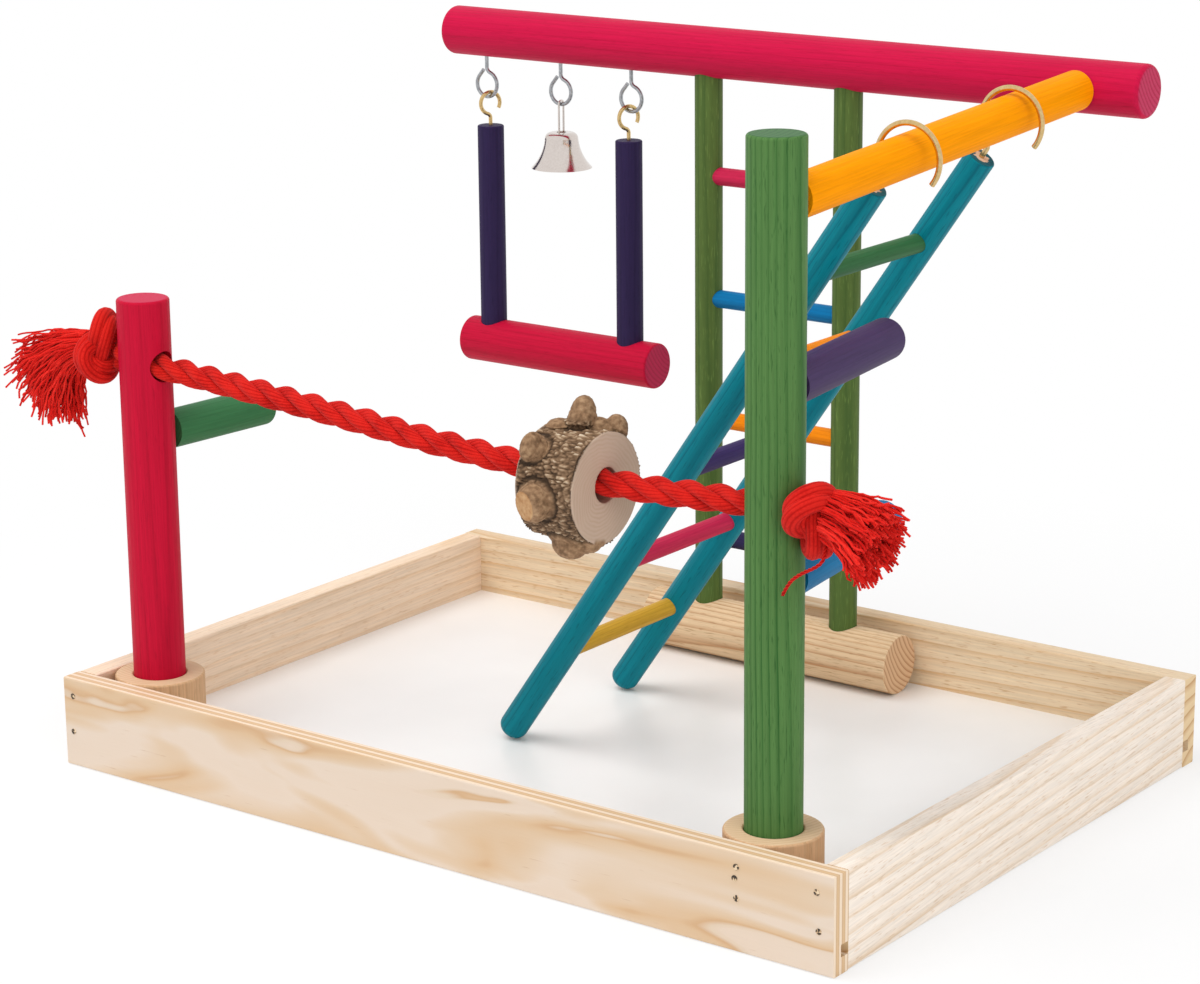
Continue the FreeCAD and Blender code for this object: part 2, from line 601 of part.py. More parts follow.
rail_length = "dims.ladder_foot - dims.ladder_head"
for side, inward in (("near", 1), ("far", -1)):
    rail = stick("ladder_%s_rail" % side, "dims.upright_radius", rail_length)
    soft_foot = eased(rail, side + "_rail_foot", rail.Tip, 5, [0])
    eased(rail, side + "_rail_head", soft_foot, 0.8, [size(rail_length)])
    lowest = "dims.ladder_foot - dims.ladder_first - 4 * dims.ladder_pitch"
    depth = "%d * (dims.upright_radius - dims.rung_sink)" % -inward
    hole = round_sketch(rail, side + "_step_round", "XZ_Plane", "dims.rung_hole", ("0", lowest, depth))
    first_hole = cut(rail, side + "_step_hole", hole, inward < 0)
    repeat(rail, side + "_step_holes", first_hole, "dims.ladder_pitch", 5)
    lean(rail, "dims.ladder_%s_y" % side, "dims.ladder_foot")
    pieces.append(rail)

step_length = "dims.ladder_far_y - dims.ladder_near_y - 2 * (%s)" % inner
for number in range(5):
    step = new_body("ladder_rung_%d" % (number + 1))
    step_end = round_sketch(step, "ladder_rung_%d_end" % (number + 1), "XZ_Plane", "dims.rung_radius",
                            ("0", "0", "-(%s)" % step_length))
    pad(step, "ladder_rung_%d_stick" % (number + 1), step_end, step_length)
    lean(step, "dims.ladder_near_y + (%s)" % inner, "dims.ladder_first + %d * dims.ladder_pitch" % number)
    pieces.append(step)

# Brass hooks in the rail tops hang over the crossbar. The far one reaches higher, as the bar does.
for side, across, up in (("near", "6.5", "5.2"), ("far", "2.5", "6.5")):
    rail_hook = hook_wire("ladder_%s_hook" % side, "1.3", "-14", "4", "15.35", across,
                          "dims.ladder_head + %s" % up, "-1.3")
    lean(rail_hook, "dims.ladder_%s_y" % side, "dims.ladder_head")
    pieces.append(rail_hook)

# ---------------------------------------------------------------- rope
# Cotton rope through both posts, knotted behind each, with a slice of branch threaded on it.
ROPE_ROUTE = ((-204, 197.5), (-158, 194.1), (-112, 190.9), (-66, 187.8), (-20, 184.9),
              (22, 182.4), (60, 180.9), (98, 180.4), (141, 182.7), (184, 184.7))


def cord_line(points):
    """Straight runs joined by tangent arcs; each arc takes 0.45 of its shorter run."""
    edges = []
    last = points[0]
    for before, corner, after in zip(points, points[1:], points[2:]):
        inward = corner - before
        outward = after - corner
        reach = 0.45 * min(inward.Length, outward.Length)
        half_turn = inward.getAngle(outward) / 2
        radius = reach / math.tan(half_turn)
        print("rope arc radius %.0f mm, turn %.2f degrees" % (radius, math.degrees(2 * half_turn)))
        start = corner - inward.normalize() * reach
        end = corner + outward.normalize() * reach
        centre_way = (outward - inward).normalize()
        centre = corner + centre_way * (radius / math.cos(half_turn))
        middle = centre - centre_way * radius
        edges.append(Part.LineSegment(last, start).toShape())
        edges.append(Part.Arc(start, middle, end).toShape())
        last = end
    edges.append(Part.LineSegment(last, points[-1]).toShape())
    return Part.Wire(edges)


rope_points = [V(x, size("dims.post_y"), z) for x, z in ROPE_ROUTE]
rope_line = cord_line(rope_points)
rope_axis = rope_points[1] - rope_points[0]
rope_section = Part.Wire([Part.Circle(rope_points[0], rope_axis, size("dims.rope_radius")).toShape()])
rope = doc.addObject("Part::Feature", "rope")
rope.Label = "rope"
rope.Shape = rope_line.makePipeShell([rope_section], True, False)
expected = math.pi * size("dims.rope_radius") ** 2 * rope_line.Length
print("rope: line %.1f mm, volume %.0f, section times length %.0f" % (rope_line.Length, rope.Shape.Volume, expected))
pieces.append(rope)

# Knots and the loose ends of the rope, as plain closed forms.
for name, centre, radii in (("left_knot", V(-215.5, -125.5, 200), (18, 15.5, 17)),
                            ("right_knot", V(192.6, -125.5, 181), (16.5, 11.5, 15.5))):
    knot = doc.addObject("Part::Ellipsoid", name)
    knot.Label = name
    knot.Radius1, knot.Radius2, knot.Radius3 = radii
    knot.Angle1 = -90
    knot.Placement = FreeCAD.Placement(centre, UPRIGHT)
    pieces.append(knot)
for name, start, ahead, narrow, wide, tassel_long in (
        ("left_tassel", V(-226, -125.5, 197), V(-0.82, 0, -0.57), 8.5, 22, 46),
        ("right_tassel", V(199, -125.5, 180), V(0.95, 0, -0.3), 12, 17, 27)):
    tassel = doc.addObject("Part::Cone", name)
    tassel.Label = name
    tassel.Radius1 = narrow
    tassel.Radius2 = wide
    tassel.Height = tassel_long
    tassel.Placement = FreeCAD.Placement(start, FreeCAD.Rotation(V(0, 0, 1), ahead))
    pieces.append(tassel)

# ---------------------------------------------------------------- branch slice
# A sawn slice of branch, its axis along X, with the stubs of twigs left on its bark.
# Knobs: x from the left face, angle up from the front, height of the middle above the bark, size.
KNOBS = (
    (14.5, 100, 4, (7.5, 6.4, 6.6)),
    (26, 122, 1.5, (6, 5.2, 7)),
    (22.5, 110, 0, (4.5, 5, 5.5)),
    (4.5, 92, -1, (4, 4.5, 4.5)),
    (5.2, 47, 1.5, (7.5, 4.8, 7.5)),
    (11.5, -8, 1, (7, 8.5, 9)),
    (17, -72, -1, (7, 8, 7)),
    (27.2, -78, -1.5, (4.5, 4.2, 5)),
    (12, 190, -1, (6.5, 6.5, 6.5)),
    (22, 222, -1, (4.5, 5, 5)),
)
disc = new_body("bark_disc")
steps = 24
rim_points = []
for step_number in range(steps):
    angle = 2 * math.pi * step_number / steps
    wobble = 0.35 * math.sin(3 * angle + 0.7) + 0.3 * math.sin(5 * angle + 2.1) + 0.2 * math.cos(8 * angle)
    reach = size("dims.disc_radius") - 0.5 + wobble
    rim_points.append(V(reach * math.cos(angle), reach * math.sin(angle), 0))
rim_curve = Part.BSplineCurve()
rim_curve.interpolate(rim_points, PeriodicFlag=True)
disc_sketch = new_sketch(disc, "disc_outline", "YZ_Plane")
disc_sketch.addGeometry(rim_curve)
disc_pad = pad(disc, "disc_slice", disc_sketch, "dims.disc_thick")
rims = ["Edge%d" % number for number, edge in enumerate(disc_pad.Shape.Edges, start=1)
        if edge.BoundBox.XLength < 0.01]
disc_soft = disc.newObject("PartDesign::Fillet", "disc_eased")
disc_soft.Base = (disc_pad, rims)
disc_soft.Radius = 0.8
doc.recompute()
for number, (x, angle, height, radii) in enumerate(KNOBS, start=1):
    knob = disc.newObject("PartDesign::AdditiveEllipsoid", "knob_%d" % number)
    knob.Radius1, knob.Radius2, knob.Radius3 = radii
    knob.Angle1 = -90
    reach = size("dims.disc_radius") + height
    way = V(0, -math.cos(math.radians(angle)), math.sin(math.radians(angle)))
    knob.Placement = FreeCAD.Placement(way * reach + V(x, 0, 0), FreeCAD.Rotation(V(0, 0, 1), way))
    doc.recompute()
bore_shift = ("0", "dims.disc_bore_z - dims.disc_z", "-20")
bore_round = round_sketch(disc, "disc_bore_round", "YZ_Plane", "dims.disc_bore", bore_shift)
cut(disc, "disc_bore", bore_round, True)
place(disc, "dims.disc_left", "dims.post_y", "dims.disc_z")
pieces.append(disc)

# ---------------------------------------------------------------- checks and files
doc.recompute()
for item in doc.Objects:
    if "Invalid" in item.State or "Error" in item.State:
        raise ValueError("%s is %s" % (item.Label, item.State))
for piece in pieces:
    if piece.Shape.isNull() or not piece.Shape.isValid():
        raise ValueError(piece.Label + " has no valid shape")

os.makedirs("parts", exist_ok=True)
for piece in pieces:
    piece.Shape.exportStep("parts/%s.step" % piece.Label)
    box = piece.Shape.BoundBox
    print("%-18s solids %2d  x %7.1f %7.1f  y %7.1f %7.1f  z %6.1f %6.1f" % (
        piece.Label, len(piece.Shape.Solids), box.XMin, box.XMax, box.YMin, box.YMax, box.ZMin, box.ZMax))
disc_centre = disc.Shape.Solids[0].CenterOfMass
print("branch slice: centre of mass y %.2f z %.2f" % (disc_centre.y, disc_centre.z))
print(len(pieces), "pieces")
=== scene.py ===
import math

import bmesh
import bpy
import numpy as np
from mathutils import Matrix, Vector, noise


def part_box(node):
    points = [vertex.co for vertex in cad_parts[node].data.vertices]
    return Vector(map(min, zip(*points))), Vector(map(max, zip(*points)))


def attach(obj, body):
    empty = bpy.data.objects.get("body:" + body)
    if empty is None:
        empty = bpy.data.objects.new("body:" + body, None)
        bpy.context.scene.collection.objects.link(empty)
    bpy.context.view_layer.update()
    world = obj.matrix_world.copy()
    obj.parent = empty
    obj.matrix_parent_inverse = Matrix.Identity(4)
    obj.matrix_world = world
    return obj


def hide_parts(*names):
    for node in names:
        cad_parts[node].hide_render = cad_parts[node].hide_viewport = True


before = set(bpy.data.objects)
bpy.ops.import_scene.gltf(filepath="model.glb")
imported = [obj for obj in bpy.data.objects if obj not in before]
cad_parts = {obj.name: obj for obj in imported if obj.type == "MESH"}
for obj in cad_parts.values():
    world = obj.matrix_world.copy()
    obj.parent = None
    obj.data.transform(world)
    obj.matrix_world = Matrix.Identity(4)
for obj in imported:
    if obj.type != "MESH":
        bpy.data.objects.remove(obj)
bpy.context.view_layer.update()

# ---------------------------------------------------------------- Tray boards
# Four boards, 11 mm thick, butted and nailed at the corners and grooved for the floor panel. The
# sides and the back are planed pine, the front one is plywood.
SIDEWAYS, BACK, UP = (1, 0, 0), (0, 1, 0), (0, 0, 1)
BUMP_DEPTH = 0.0003


def linear(colour):
    """The linear values of an sRGB hex colour."""
    parts = [int(colour[at:at + 2], 16) / 255 for at in (1, 3, 5)]
    return [c / 12.92 if c <= 0.04045 else ((c + 0.055) / 1.055) ** 2.4 for c in parts] + [1]


def add(tree, kind, joins=None, **settings):
    """Adds a node. joins has its inputs: a socket to link from, or a value."""
    made = tree.nodes.new(kind)
    for name, value in settings.items():
        setattr(made, name, value)
    for name, value in (joins or {}).items():
        if isinstance(value, bpy.types.NodeSocket):
            tree.links.new(value, made.inputs[name])
        else:
            made.inputs[name].default_value = value
    return made


def step(tree, operation, *values, clamp=False):
    """The result of one step of arithmetic."""
    return add(tree, "ShaderNodeMath", dict(enumerate(values)), operation=operation,
               use_clamp=clamp).outputs[0]


def vector_step(tree, operation, *values, **named):
    """The result of one step of arithmetic on vectors."""
    return add(tree, "ShaderNodeVectorMath", {**dict(enumerate(values)), **named},
               operation=operation).outputs


def blend(tree, share, first, second):
    """Two colours, mixed. A mix node has its colours at inputs 6 and 7 and at output 2."""
    return add(tree, "ShaderNodeMix", {0: share, 6: first, 7: second}, data_type="RGBA").outputs[2]


def ramp(tree, value, *stops):
    """The colour, or the grey, that belongs to a value. The stops run from low to high."""
    made = add(tree, "ShaderNodeValToRGB", {0: value})
    band = made.color_ramp.elements
    band[0].position, band[1].position = stops[0][0], stops[-1][0]
    for at, _ in stops[1:-1]:
        band.new(at)
    for stop, (_, colour) in zip(band, stops):
        stop.color = linear(colour) if isinstance(colour, str) else [colour] * 3 + [1]
    return made.outputs[0]


def between(tree, value, low, high, least=0.0, most=1.0):
    """Maps a value from the range low to high onto the range least to most."""
    return add(tree, "ShaderNodeMapRange", {"Value": value, "From Min": low, "From Max": high,
                                            "To Min": least, "To Max": most}).outputs[0]


def blotches(tree, place, scale, detail):
    """Noise with so many blotches in a metre. Three numbers for scale stretch them."""
    if isinstance(scale, tuple):
        place = add(tree, "ShaderNodeMapping", {"Vector": place, "Scale": scale}).outputs[0]
        scale = 1.0
    return add(tree, "ShaderNodeTexNoise", {"Vector": place, "Scale": scale,
                                            "Detail": detail}).outputs


def rings_round(tree, place, scale, profile):
    """Growth rings round the X axis of place."""
    return add(tree, "ShaderNodeTexWave", {"Vector": place, "Scale": scale, "Distortion": 0.0},
               wave_type="RINGS", rings_direction="X", wave_profile=profile).outputs["Fac"]


def emboss(tree, shader, height, strength, depth=BUMP_DEPTH):
    """Raises the finest relief of a surface."""
    bump = add(tree, "ShaderNodeBump", {"Height": height, "Strength": strength,
                                        "Distance": depth})
    tree.links.new(bump.outputs[0], shader.inputs["Normal"])


def finish_of(name, roughness, **shader_values):
    """A new material, with its tree, its shader and where a point of it lies."""
    material = bpy.data.materials.new(name)
    material.use_nodes = True
    tree = material.node_tree
    shader = tree.nodes["Principled BSDF"]
    shader.inputs["Roughness"].default_value = roughness
    for socket, value in shader_values.items():
        shader.inputs[socket.replace("_", " ")].default_value = value
    return material, tree, shader, add(tree, "ShaderNodeTexCoord").outputs


def dress(material, *nodes):
    """Gives CAD nodes their finish."""
    for node in nodes:
        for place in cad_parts[node].material_slots:
            place.material = material


def clouded(name, roughness, scale, *stops, detail=3, **shader_values):
    """A finish of one tone that drifts a little, as plating and coatings do."""
    material, tree, shader, here = finish_of(name, roughness, **shader_values)
    cloud = blotches(tree, here["Object"], scale, detail)["Fac"]
    tree.links.new(ramp(tree, cloud, *stops), shader.inputs["Base Color"])
    return material


def wood(node, name, along, tones, ring, pith, slope=0.5, wander=1.6, streak=0.5, roughness=0.5,
         shine=0.1, end=None):
    """Dresses a CAD node in sawn or turned wood: growth rings round a pith, fibres along the grain.

    tones are its early wood, its late wood and its pores, and end has the two tones of its end
    grain. ring is the ring width, and pith the way from the middle of the piece to the middle of
    the trunk, in metres. slope is how far the grain runs off the piece's own line, in degrees,
    and wander how far a ring strays, in mm. streak is how strongly late wood and pores show.
    """
    material, tree, shader, here = finish_of(name, roughness, Specular_IOR_Level=shine)
    early, late, pore = map(linear, tones)
    low, high = map(Vector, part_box(node))
    turned = Vector(along).to_track_quat("X", "Z")
    trunk = (low + high) / 2 + turned @ Vector((0, *pith))
    flat = add(tree, "ShaderNodeMapping",
               {"Vector": here["Object"], "Location": trunk, "Rotation": turned.to_euler()},
               vector_type="TEXTURE").outputs[0]
    tilt = (0, math.radians(slope), math.radians(slope / 2))
    grain = add(tree, "ShaderNodeMapping", {"Vector": flat, "Rotation": tilt}).outputs[0]

    # The rings: pale early wood that darkens towards a sharp line of late wood.
    drift = blotches(tree, grain, (6, 45, 45), 1.5)["Color"]
    off = vector_step(tree, "SUBTRACT", drift, (0.5, 0.5, 0.5))[0]
    sway = vector_step(tree, "MULTIPLY", off, (0, wander / 500, wander / 500))[0]
    bent = vector_step(tree, "ADD", grain, sway)[0]
    rings = rings_round(tree, bent, 0.314 / ring, "SAW")
    late_wood = ramp(tree, rings, (0.0, 0.12), (0.45, 0.05), (0.8, 0.55), (0.93, 1.0), (1.0, 0.1))

    # Fibres, broad bands of more or less dye, and pores as short dark flecks.
    fibre = blotches(tree, grain, (28, 1100, 1100), 3.0)["Fac"]
    bands = blotches(tree, grain, (9, 160, 160), 2.0)["Fac"]
    share = step(tree, "MULTIPLY", late_wood, bands)
    strong = step(tree, "MULTIPLY", share, 1.8 * streak, clamp=True)
    colour = blend(tree, strong, early, late)
    pores = blotches(tree, grain, (150, 1500, 1500), 1.0)["Fac"]
    flecks = between(tree, pores, 0.6, 0.74, most=0.7 * streak)
    flecked = blend(tree, flecks, colour, pore)
    lift = between(tree, fibre, 0.3, 0.7, 0.9, 1.08)
    last = vector_step(tree, "SCALE", flecked, Scale=lift)[0]
    if end:
        # End grain takes up more dye and dust than the sides.
        facing = vector_step(tree, "DOT_PRODUCT", here["Normal"], Vector(along).normalized())
        cut = between(tree, step(tree, "ABSOLUTE", facing["Value"]), 0.85, 0.97)
        last = blend(tree, cut, last, blend(tree, late_wood, *map(linear, end)))
    tree.links.new(last, shader.inputs["Base Color"])
    emboss(tree, shader, step(tree, "ADD", fibre, late_wood), 0.24)
    dress(material, node)
    return tree, shader, here


# Pine, planed and left bare: pale early wood, with amber lines 7 mm apart on a flat-sawn face.
for board, along, pith, slope, tones in (
        ("left_board", BACK, (0.004, -0.06), 0.6, ("#f6dfc6", "#eac9a4", "#dcb68c")),
        ("right_board", BACK, (0.012, 0.045), 4.0, ("#f9eee2", "#e3c7a6", "#d3b08a")),
        ("back_board", SIDEWAYS, (0.02, -0.05), 1.2, ("#ecd6b6", "#d6ab78", "#c49562"))):
    wood(board, "planed pine " + board, along, tones, 0.0068, pith, slope, wander=3, streak=0.75,
         roughness=0.55, end=("#ecd2a8", "#c79a6a"))

# Pine plywood: its face is one peeled sheet, so the rings come out as broad flames, warm on
# pinkish white, with few thin dark dashes. The five plies show on its edges, dark at the glue.
PLY = 0.0022
plywood, tree, shader, here = finish_of("pine plywood", 0.5, Specular_IOR_Level=0.3)
flow = add(tree, "ShaderNodeMapping", {"Vector": here["Object"], "Scale": (7, 1, 34),
                                       "Rotation": (0, math.radians(-13), 0),
                                       "Location": (0.031, 0, 0.012)})
peel = add(tree, "ShaderNodeTexNoise", {"Vector": flow.outputs[0], "Scale": 1.0, "Detail": 2.5,
                                        "Distortion": 0.7})
layer = step(tree, "FRACT", step(tree, "MULTIPLY", peel.outputs["Fac"], 3.2))
flame = ramp(tree, layer, (0.0, "#e2cfbc"), (0.36, "#e3d1bf"), (0.56, "#dec6ab"),
             (0.8, "#dabb97"), (0.88, "#d2ac84"), (0.95, "#decab3"), (1.0, "#e1cdb9"))
dash = blotches(tree, here["Object"], (60, 900, 900), 2.0)["Fac"]
face = blend(tree, between(tree, dash, 0.7, 0.8, most=0.5), flame, linear("#b98f66"))
through = add(tree, "ShaderNodeSeparateXYZ", {0: here["Object"]}).outputs[1]
depth = step(tree, "FRACT", step(tree, "MULTIPLY", through, 1 / (2 * PLY)))
plies = ramp(tree, depth, (0.0, "#c79d70"), (0.06, "#f0dcc4"), (0.46, "#eed8bd"),
             (0.52, "#bd9163"), (0.6, "#dcbb92"), (0.94, "#d9b68c"), (1.0, "#c79d70"))
looks = add(tree, "ShaderNodeSeparateXYZ", {0: here["Normal"]}).outputs[1]
on_edge = step(tree, "LESS_THAN", step(tree, "ABSOLUTE", looks), 0.6)
tree.links.new(blend(tree, on_edge, face, plies), shader.inputs["Base Color"])
emboss(tree, shader, dash, 0.2)
dress(plywood, "front_board")

# Hardboard with a white melamine face, satin and cold to the touch.
dress(clouded("white melamine", 0.35, 14, (0.3, "#f3f2f0"), (0.7, "#f8f7f5")), "floor_panel")

# Steel wire nails, sunk level, with painted shade: their heads are drawn near-black and brown. Wood
# fibre has closed over part of each head.
dress(clouded("steel wire nails", 0.6, 620, (0.36, "#1f1a16"), (0.5, "#4a3a2b"),
              (0.54, "#c9ab86"), (0.62, "#e6cfae"), detail=2), "tray_nails")

# ---------------------------------------------------------------- Posts and collars
# Two 25 mm dowels stand in turned rings that are nailed to the front board. They were dipped in a
# thin water dye, so the grain shows through the colour.
for collar, pith in (("left_collar", (0.03, 0.01)), ("right_collar", (0.02, 0.03))):
    wood(collar, "turned beech " + collar, UP, ("#d8b088", "#c4976c", "#a87d55"), 0.0022, pith,
         slope=1.0, roughness=0.6, end=("#e2c4a0", "#d2ae86"))
wood("left_post", "pine in red dye", UP, ("#c40e33", "#ab0a2a", "#9c0828"), 0.0024,
     (0.02, 0.035), slope=0.7, end=("#c81f4a", "#b5183f"))
wood("right_post", "pine in green dye", UP, ("#557d44", "#32602c", "#2c5728"), 0.0028,
     (-0.008, 0.045), slope=0.4, streak=0.85, end=("#3f6a3c", "#2c5530"))


# ---------------------------------------------------------------- Back frame
# A bare pine log lies on the tray floor and holds two 14 mm uprights, with four 9 mm rungs
# between them.
def rung(node, along, light, dark):
    """Dresses a rung in dyed birch."""
    wood(node, "birch in dye " + node, along, (light, dark, dark), 0.0016, (0.02, 0.01))


wood("base_log", "bare pine log", SIDEWAYS, ("#e3c6a0", "#b98457", "#a8794f"), 0.0026,
     (0.03, 0.022), slope=1.4, wander=2.2, streak=0.8, roughness=0.6, end=("#dcb994", "#a8734b"))
for upright in ("left_upright", "right_upright"):
    wood(upright, "pine in olive dye " + upright, UP, ("#586f37", "#3a5529", "#76904a"), 0.0022,
         (0.02, 0.02), streak=0.7)
rung("frame_rung_1", SIDEWAYS, "#2f294d", "#221d3c")
rung("frame_rung_2", SIDEWAYS, "#f48a0e", "#d9720a")
rung("frame_rung_3", SIDEWAYS, "#0d73ab", "#0a5a8a")
rung("frame_rung_4", SIDEWAYS, "#c8274f", "#a51a3e")

# ---------------------------------------------------------------- Top bar, crossbar, stub perches
# The crimson bar lies on the uprights, the orange one joins it to the green post, and three stubs
# are screwed to the posts.
CROSSBAR = (0, 0.997886, 0.064995)
OFF_GREEN_POST = (-0.139173, 0.990268, 0)
OFF_RED_POST = (0.076719, 0.997053, 0)
wood("top_bar", "pine in crimson dye", SIDEWAYS, ("#c61243", "#b20c37", "#a40b32"), 0.0024,
     (0.03, 0.026), streak=0.55, end=("#c43a60", "#a20d38"))
for bar, along, tones, shine in (
        ("crossbar", CROSSBAR, ("#fb9a04", "#f69203", "#ec8402"), 0.02),
        ("upper_stub_perch", OFF_GREEN_POST, ("#43315a", "#332448", "#2c1f40"), 0.1),
        ("lower_stub_perch", OFF_GREEN_POST, ("#0f73a6", "#0a5c88", "#08527a"), 0.1),
        ("left_stub_perch", OFF_RED_POST, ("#3c754a", "#2e5f39", "#295633"), 0.1)):
    wood(bar, "birch in dye " + bar, along, tones, 0.0018, (0.02, 0.015), slope=0.6, streak=0.3,
         shine=shine, end=tones[:2])

# ---------------------------------------------------------------- Screws and screw eyes
# Zinc-plated steel: two screws up into the log, one up into each post, double-ended ones in the
# joints, and the three eyes under the crimson bar.
zinc = clouded("zinc-plated steel", 0.28, 700, (0.3, "#93969a"), (0.7, "#b9bcbf"), Metallic=1.0)
dress(zinc, "post_screws", "log_screws", "dowel_screws", "left_swing_eye", "bell_eye",
      "right_swing_eye")

# ---------------------------------------------------------------- Swing
# Two purple sticks are glued into a red perch and hang by brass hooks in the outer eyes. The
# ladder's hooks are bent from the same wire.
brass = clouded("brass-plated wire", 0.25, 700, (0.3, "#ccad74"), (0.7, "#dfc28c"), Metallic=1.0)
dress(brass, "swing_left_hook", "swing_right_hook", "ladder_near_hook", "ladder_far_hook")
for stick in ("swing_left_stick", "swing_right_stick"):
    wood(stick, "birch in purple dye " + stick, UP, ("#2f2449", "#221938", "#1c142f"), 0.0018,
         (0.02, 0.01), roughness=0.55)
wood("swing_perch", "pine in red dye perch", SIDEWAYS, ("#c21238", "#a90b2c", "#980828"), 0.0022,
     (0.02, 0.02), end=("#c02550", "#a51a3e"))

# ---------------------------------------------------------------- Bell
# Spun steel with bright nickel on it, hung on a bent wire link with its clapper on the same link.
nickel = clouded("bright nickel", 0.17, 900, (0.3, "#d2c8c2"), (0.7, "#dad1cb"), Metallic=1.0)
dress(nickel, "bell_shell", "bell_link", "bell_clapper")

# ---------------------------------------------------------------- Ladder
# Two teal 14 mm rails with five 9 mm rungs, hung over the crossbar by brass hooks in the rail
# tops. The dye has chipped off round each hook's shank, where it was turned into the wood.
RAIL = Vector((0.577145, 0, 0.816642))
for rail in ("ladder_near_rail", "ladder_far_rail"):
    tree, shader, here = wood(rail, "pine in teal dye " + rail, RAIL,
                              ("#06808f", "#035f72", "#035466"), 0.0022, (0.02, 0.02),
                              streak=0.7, roughness=0.42, end=("#0a5f6e", "#08505e"))
    corners = [vertex.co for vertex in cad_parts[rail].data.vertices]
    highest = max(corner.dot(RAIL) for corner in corners)
    top = [corner for corner in corners if corner.dot(RAIL) > highest - 0.0004]
    shank = sum(top, Vector()) / len(top)
    ragged = blotches(tree, here["Object"], 500, 3)["Fac"]
    away = vector_step(tree, "DISTANCE", here["Object"], shank)["Value"]
    bare = between(tree, step(tree, "MULTIPLY_ADD", ragged, -0.006, away), 0.0008, 0.0002)
    dyed = shader.inputs["Base Color"].links[0].from_socket
    chipped = blend(tree, bare, dyed, linear("#dcc0a6"))
    tree.links.new(chipped, shader.inputs["Base Color"])
rung("ladder_rung_1", BACK, "#356a40", "#28532f")
rung("ladder_rung_2", BACK, "#f08a14", "#cf6f0a")
rung("ladder_rung_3", BACK, "#3a2c5e", "#2a1f47")
rung("ladder_rung_4", BACK, "#c92950", "#a81c40")
rung("ladder_rung_5", BACK, "#cfa236", "#a97f22")

# ---------------------------------------------------------------- Rope
# Three-strand cotton rope, 12.4 mm thick and laid right-handed, red all through. It runs through
# both posts and is held by an overhand knot outside each. Its yarns lie along the rope.
ROPE_Y = -0.1255
ROPE_ROUTE = [(x, ROPE_Y, z) for x, z in (
    (-0.204, 0.1975), (-0.158, 0.1951), (-0.112, 0.1921), (-0.066, 0.1887), (-0.020, 0.1849),
    (0.022, 0.1824), (0.060, 0.1809), (0.098, 0.1804), (0.141, 0.1827), (0.184, 0.1847))]
# Even steps along a cord, in metres.
FINE_STEP, STEP = 0.0008, 0.0012
# A strand's section as shares of its radius: its body, and how far its yarns and its lumps stand
# out. WAVER is how far the yarns stray round it, in radians.
STRAND_BODY, YARN_RIDGE, LUMP, WAVER = 0.955, 0.05, 0.02, 0.0875


def smooth_line(points, gap):
    """Even points along the NURBS spline that has these control points, and how far along."""
    curve = bpy.data.curves.new("line", "CURVE")
    curve.dimensions = "3D"
    curve.resolution_u = 24
    spline = curve.splines.new("NURBS")
    spline.points.add(len(points) - 1)
    for target, point in zip(spline.points, points):
        target.co = (*point, 1)
    spline.order_u = 3
    spline.use_endpoint_u = True
    holder = bpy.data.objects.new("line", curve)
    bpy.context.scene.collection.objects.link(holder)
    seen = holder.evaluated_get(bpy.context.evaluated_depsgraph_get())
    mesh = bpy.data.meshes.new_from_object(seen)
    raw = np.array([vertex.co[:] for vertex in mesh.vertices])
    bpy.data.objects.remove(holder)
    bpy.data.meshes.remove(mesh)
    run = np.concatenate(([0], np.cumsum(np.linalg.norm(np.diff(raw, axis=0), axis=1))))
    at = np.linspace(0, run[-1], int(round(run[-1] / gap)) + 1)
    return np.column_stack([np.interp(at, run, raw[:, axis]) for axis in range(3)]), at


def carried_frame(line, first):
    """Two directions across the line at each of its points, carried along without twist."""
    ahead = np.gradient(line, axis=0)
    ahead /= np.linalg.norm(ahead, axis=1)[:, None]
    side = np.empty_like(line)
    now = np.array(first, float)
    for number, forward in enumerate(ahead):
        now = now - forward * (now @ forward)
        now /= np.linalg.norm(now)
        side[number] = now
    return side, np.cross(ahead, side)


def piece_of(name, mesh, body, slot, *replaced):
    """A smooth piece at the origin that rides on a body and stands for CAD nodes."""
    mesh.polygons.foreach_set("use_smooth", [True] * len(mesh.polygons))
    piece = bpy.data.objects.new(name, mesh)
    bpy.context.scene.collection.objects.link(piece)
    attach(piece, body)
    if replaced:
        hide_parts(*replaced)
    return piece


